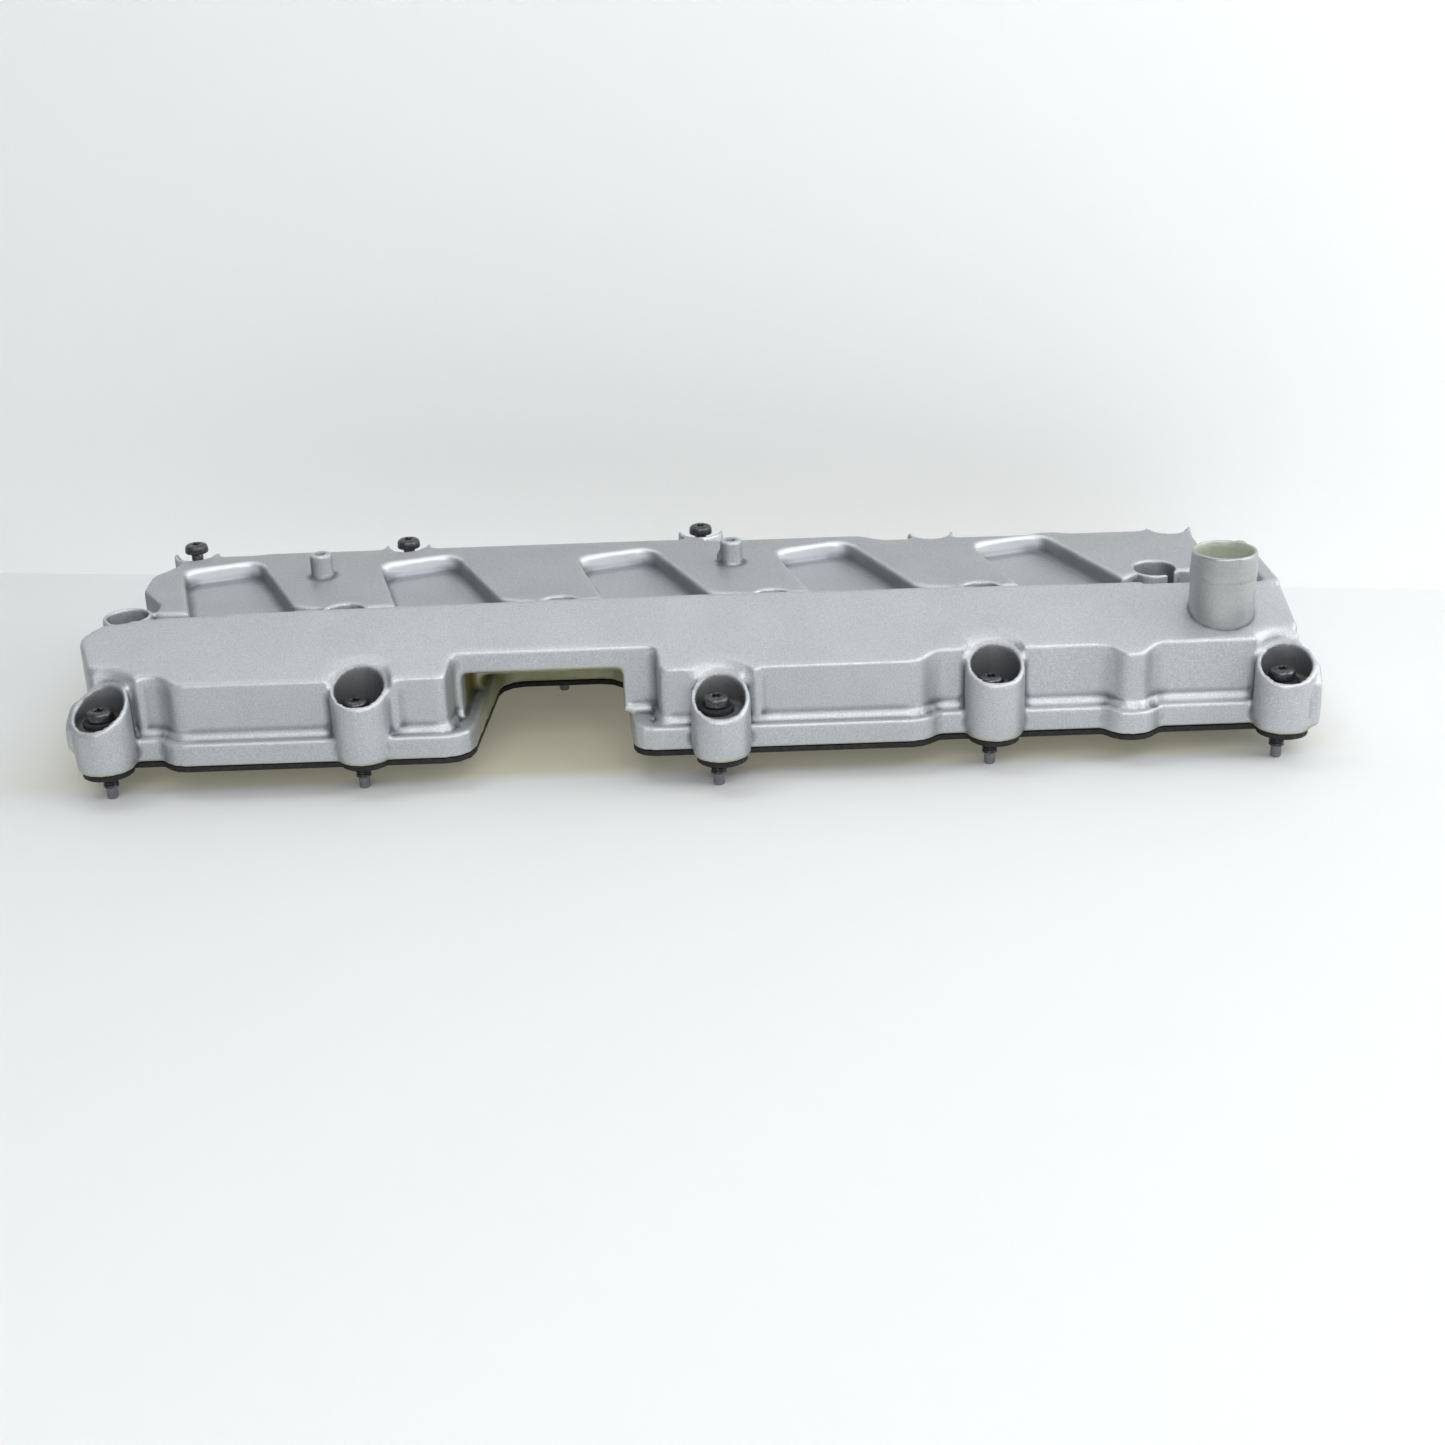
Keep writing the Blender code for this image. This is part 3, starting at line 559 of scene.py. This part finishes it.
def thread_swell(k, last, angle):
    """How deep the thread's groove is at ring k of its last + 1, as a scale."""
    phase = (k / THREAD_STEPS + angle / (2 * math.pi)) % 1.0
    groove = 1.0 - abs(2.0 * phase - 1.0)
    fade = min(1.0, k / THREAD_STEPS, (last - k) / THREAD_STEPS)
    return 1.0 - THREAD_DEPTH / THREAD_R * min(1.0, 1.35 * groove) * fade


def finished_mesh(name, bm, materials):
    """The mesh alone, shaded, to be shared by several objects."""
    made = new_object(name, bm, materials)
    shade(made, 40.0)
    mesh = made.data
    bpy.data.objects.remove(made)
    return mesh


def build_bolt_mesh(steel, bright, length):
    """One bolt, length millimetres long under its head."""
    thread_top = NECK_L + 0.9
    thread_end = length - DOG_L
    last = int((thread_end - thread_top) / THREAD_PITCH * THREAD_STEPS)
    thread = [(THREAD_R, -(thread_top + THREAD_PITCH * i / THREAD_STEPS)) for i in range(last + 1)]
    tip = [(THREAD_R - THREAD_DEPTH, -thread_end - 0.2), (DOG_R + 0.1, -thread_end - 0.6),
           (DOG_R, -thread_end - 0.9), (DOG_R, 0.5 - length), (DOG_R - 0.3, 0.1 - length),
           (DOG_R - 0.6, -length), (0, -length)]
    start = len(HEAD_PROFILE)

    def swell(k, angle):
        if start <= k <= start + last:
            return thread_swell(k - start, last, angle)
        return head_swell(k, angle)

    bm = bmesh.new()
    revolve(bm, HEAD_PROFILE + thread + tip, SEGMENTS, swell=swell)
    for face in bm.faces:
        if face.calc_center_median().z < -(thread_end + 0.3) * MM:
            face.material_index = 1
    return finished_mesh("bolt_shape", bm, [steel, bright])


def build_ring_mesh(name, profile, material):
    bm = bmesh.new()
    revolve(bm, profile, SEGMENTS, closed=True)
    return finished_mesh(name, bm, [material])


def grommet_profile():
    """Rubber bush under a wide rounded flange, z from its top."""
    low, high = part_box("grommet_" + BOLT_NAMES[0])
    length = (high.z - low.z) / MM
    return [(3.6, 0.4 - length), (3.6, -0.5), (3.95, -0.1), (4.6, 0.0), (6.2, -0.05), (6.7, -0.4),
            (6.8, -0.9), (6.75, -FLANGE_T), (4.4, -FLANGE_T), (4.4, 0.4 - length), (4.2, -length),
            (3.8, -length)]


def place(name, mesh, at):
    obj = bpy.data.objects.new(name, mesh)
    bpy.context.scene.collection.objects.link(obj)
    obj.location = at
    return obj


def build_fasteners(steel, bright, rubber):
    sleeve = build_ring_mesh("sleeve_shape", SLEEVE_PROFILE, steel)
    grommet = build_ring_mesh("grommet_shape", grommet_profile(), rubber)
    bolts = {}
    for name in BOLT_NAMES:
        low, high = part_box("bolt_" + name)
        length = round((high.z - low.z) / MM - HEAD_H, 1)
        if length not in bolts:
            bolts[length] = build_bolt_mesh(steel, bright, length)
        at = centre("bolt_" + name)
        at.z = low.z + length * MM
        piece = place("bolt_" + name + "_shown", bolts[length], at)
        use(piece, "bolt_" + name, "captive_bolt_" + name)
        piece = place("sleeve_" + name + "_shown", sleeve, at)
        use(piece, "sleeve_" + name, "captive_sleeve_" + name)
        at = centre("grommet_" + name)
        at.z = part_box("grommet_" + name)[1].z
        piece = place("grommet_" + name + "_shown", grommet, at)
        use(piece, "grommet_" + name, "cover")


# ---- spout ------------------------------------------------------------------
def build_spout(outside, inside):
    """Round hose spout with a slightly swollen head."""
    low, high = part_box("breather_spout")
    middle = centre("breather_spout")
    top = (high.z - low.z) / MM
    radius = (high.x - low.x) / 2 / MM + 0.05
    bead = top - 10.4
    bm = bmesh.new()
    outer = [(radius - 1.0, 0.0), (radius - 1.0, 0.3), (radius - 0.35, 1.0), (radius - 0.25, bead - 0.9),
             (radius - 0.35, bead - 0.45), (radius - 0.3, bead - 0.2), (radius - 0.02, bead + 0.3),
             (radius + 0.02, bead + 2.5), (radius, bead + 4.6), (radius - 0.2, bead + 5.4),
             (radius - 0.25, top - 1.6), (radius - 0.4, top - 0.5), (radius - 0.75, top - 0.08),
             (radius - 1.1, top)]
    inner = [(radius - 1.35, top - 0.15), (radius - 1.55, top - 0.5), (radius - 1.8, top - 3.0),
             (radius - 2.4, 1.0), (radius - 2.6, 0.0)]
    revolve(bm, outer + inner, 96, closed=True)
    for face in bm.faces:
        at = face.calc_center_median()
        if math.hypot(at.x, at.y) < (radius - 1.3) * MM:
            face.material_index = 1
    spout = new_object("spout_shown", bm, [outside, inside])
    shade(spout, 50.0)
    spout.location = (middle.x, middle.y, low.z)
    use(spout, "breather_spout", "cover")


# ---- gasket and baffle: the CAD shapes are right ----------------------------
def dress(node, material):
    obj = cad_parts[node]
    obj.data.materials.clear()
    obj.data.materials.append(material)


# ---- stage ------------------------------------------------------------------
CAMERA_AT = Vector((23.6, -793.33, 303.145)) * MM
CAMERA_DOWN = math.radians(22.4)
CAMERA_ROLL = math.radians(2.0)
LENS = 49.83
WALL_LEFT = Vector((-353.7, 214.9)) * MM
WALL_RIGHT = Vector((370.6, 109.3)) * MM


def build_camera():
    camera = bpy.data.objects.new("camera", bpy.data.cameras.new("camera"))
    bpy.context.scene.collection.objects.link(camera)
    camera.data.lens = LENS
    camera.data.sensor_width = 36.0
    camera.data.clip_start = 0.05
    forward = Vector((0, math.cos(CAMERA_DOWN), -math.sin(CAMERA_DOWN)))
    right = Vector((1, 0, 0))
    up = right.cross(forward)
    side = math.cos(CAMERA_ROLL) * right - math.sin(CAMERA_ROLL) * up
    top = math.sin(CAMERA_ROLL) * right + math.cos(CAMERA_ROLL) * up
    rotation = Matrix((side, top, -forward)).transposed()
    camera.matrix_world = Matrix.Translation(DATUM + CAMERA_AT) @ rotation.to_4x4()
    bpy.context.scene.camera = camera


def sheet(name, corners, material):
    bm = bmesh.new()
    bm.faces.new([bm.verts.new(corner) for corner in corners])
    new_object(name, bm, [material])


def paper(look, colour):
    """Two close tones in large soft patches."""
    look.shader.inputs["Specular IOR Level"].default_value = 0.25
    shaded = tuple(0.985 * c for c in colour[:3]) + (1.0,)
    return look.mix(look.noise(0.4, 2.0), colour, shaded)


def floor_look(colour):
    """Pale floor with a painted olive shadow under the cover, lifted by a painted glow for the light its
    chromated inside throws back.
    """
    look = Look("pale_floor", roughness=0.6)
    offset = look.add("ShaderNodeVectorMath", operation="SUBTRACT")
    look.feed(offset.inputs[0], look.place)
    offset.inputs[1].default_value = (DATUM.x, DATUM.y, 0.0)
    spot = look.axes(offset.outputs["Vector"])
    # mask of the painted shadow under the cover, sharp at its front
    under = look.product(look.span(spot["Y"], -0.080, -0.070), look.span(spot["Y"], 0.05, 0.15, 1.0, 0.0),
                         look.span(look.maths("ABSOLUTE", spot["X"], 0.0), 0.20, 0.28, 1.0, 0.0))
    look.base(look.mix(under, paper(look, colour), (0.50, 0.495, 0.395, 1.0)))
    # the floor glows in that zone though it is no lamp: painted light
    look.shader.inputs["Emission Color"].default_value = (1.0, 0.98, 0.78, 1.0)
    look.feed(look.shader.inputs["Emission Strength"], look.product(under, 0.14))
    return look.material


def wall_look(colour):
    """Pale, faintly glowing wall that can't be seen from its back."""
    look = Look("pale_wall", roughness=0.6)
    look.base(paper(look, colour))
    look.shader.inputs["Emission Color"].default_value = colour
    look.shader.inputs["Emission Strength"].default_value = 0.07
    clear = look.add("ShaderNodeBsdfTransparent")
    either = look.add("ShaderNodeMixShader")
    look.feed(either.inputs[0], look.add("ShaderNodeNewGeometry").outputs["Backfacing"])
    look.feed(either.inputs[1], look.shader.outputs[0])
    look.feed(either.inputs[2], clear.outputs[0])
    look.feed(look.tree.nodes["Material Output"].inputs["Surface"], either.outputs[0])
    return look.material


def build_stage():
    far, top = 6.0, 1.6
    floor = floor_look((0.77, 0.785, 0.79, 1.0))
    sheet("floor", [(-far, -far, FLOOR_Z), (far, -far, FLOOR_Z), (far, far, FLOOR_Z), (-far, far, FLOOR_Z)],
          floor)
    along = (WALL_RIGHT - WALL_LEFT).normalized()
    left = WALL_LEFT - along * 2.5 + DATUM.xy
    right = WALL_RIGHT + along * 2.5 + DATUM.xy
    wall = wall_look((0.90, 0.915, 0.915, 1.0))
    sheet("wall", [(*left, FLOOR_Z), (*right, FLOOR_Z), (*right, top), (*left, top)], wall)


def area_light(name, at, size, power):
    light = bpy.data.lights.new(name, "AREA")
    light.shape = "RECTANGLE"
    light.size, light.size_y = size
    light.energy = power
    obj = bpy.data.objects.new(name, light)
    bpy.context.scene.collection.objects.link(obj)
    obj.location = at
    obj.rotation_mode = "QUATERNION"
    obj.rotation_quaternion = (Vector(at) - DATUM).to_track_quat("Z", "Y")


def build_lights():
    world = bpy.data.worlds.new("soft_room")
    bpy.context.scene.world = world
    world.use_nodes = True
    background = world.node_tree.nodes["Background"]
    background.inputs["Color"].default_value = (0.97, 0.985, 1.0, 1.0)
    background.inputs["Strength"].default_value = 0.22
    area_light("key", (0.75, -0.75, 1.25), (1.1, 0.9), 5.2)
    area_light("front", (0.0, -1.2, 0.9), (1.2, 0.8), 9.3)
    area_light("side", (1.2, -0.3, 0.6), (0.7, 0.7), 5.8)
    area_light("ceiling", (-0.1, 0.5, 1.5), (1.6, 1.0), 19.5)
    bpy.context.scene.view_settings.view_transform = "Standard"


def main():
    paint = powder_coat()
    rubber = black_rubber()
    steel = black_steel()
    bright = turned_metal("worn_tip", 0.16, 0.26, (0.95, 1.0, 1.1))
    spout_metal = turned_metal("spout_metal", 0.38, 0.54, (0.98, 1.0, 1.0), 0.75, 0.1)
    spout_inside = turned_metal("spout_inside", 0.50, 0.62, (0.93, 1.0, 0.84), 0.45, 0.1)
    build_casting(paint)
    build_fasteners(steel, bright, rubber)
    build_spout(spout_metal, spout_inside)
    dress("perimeter_gasket", rubber)
    zinc = zinc_sheet()
    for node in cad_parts:
        if node.startswith("baffle"):
            dress(node, zinc)
    build_stage()
    build_camera()
    build_lights()


main()
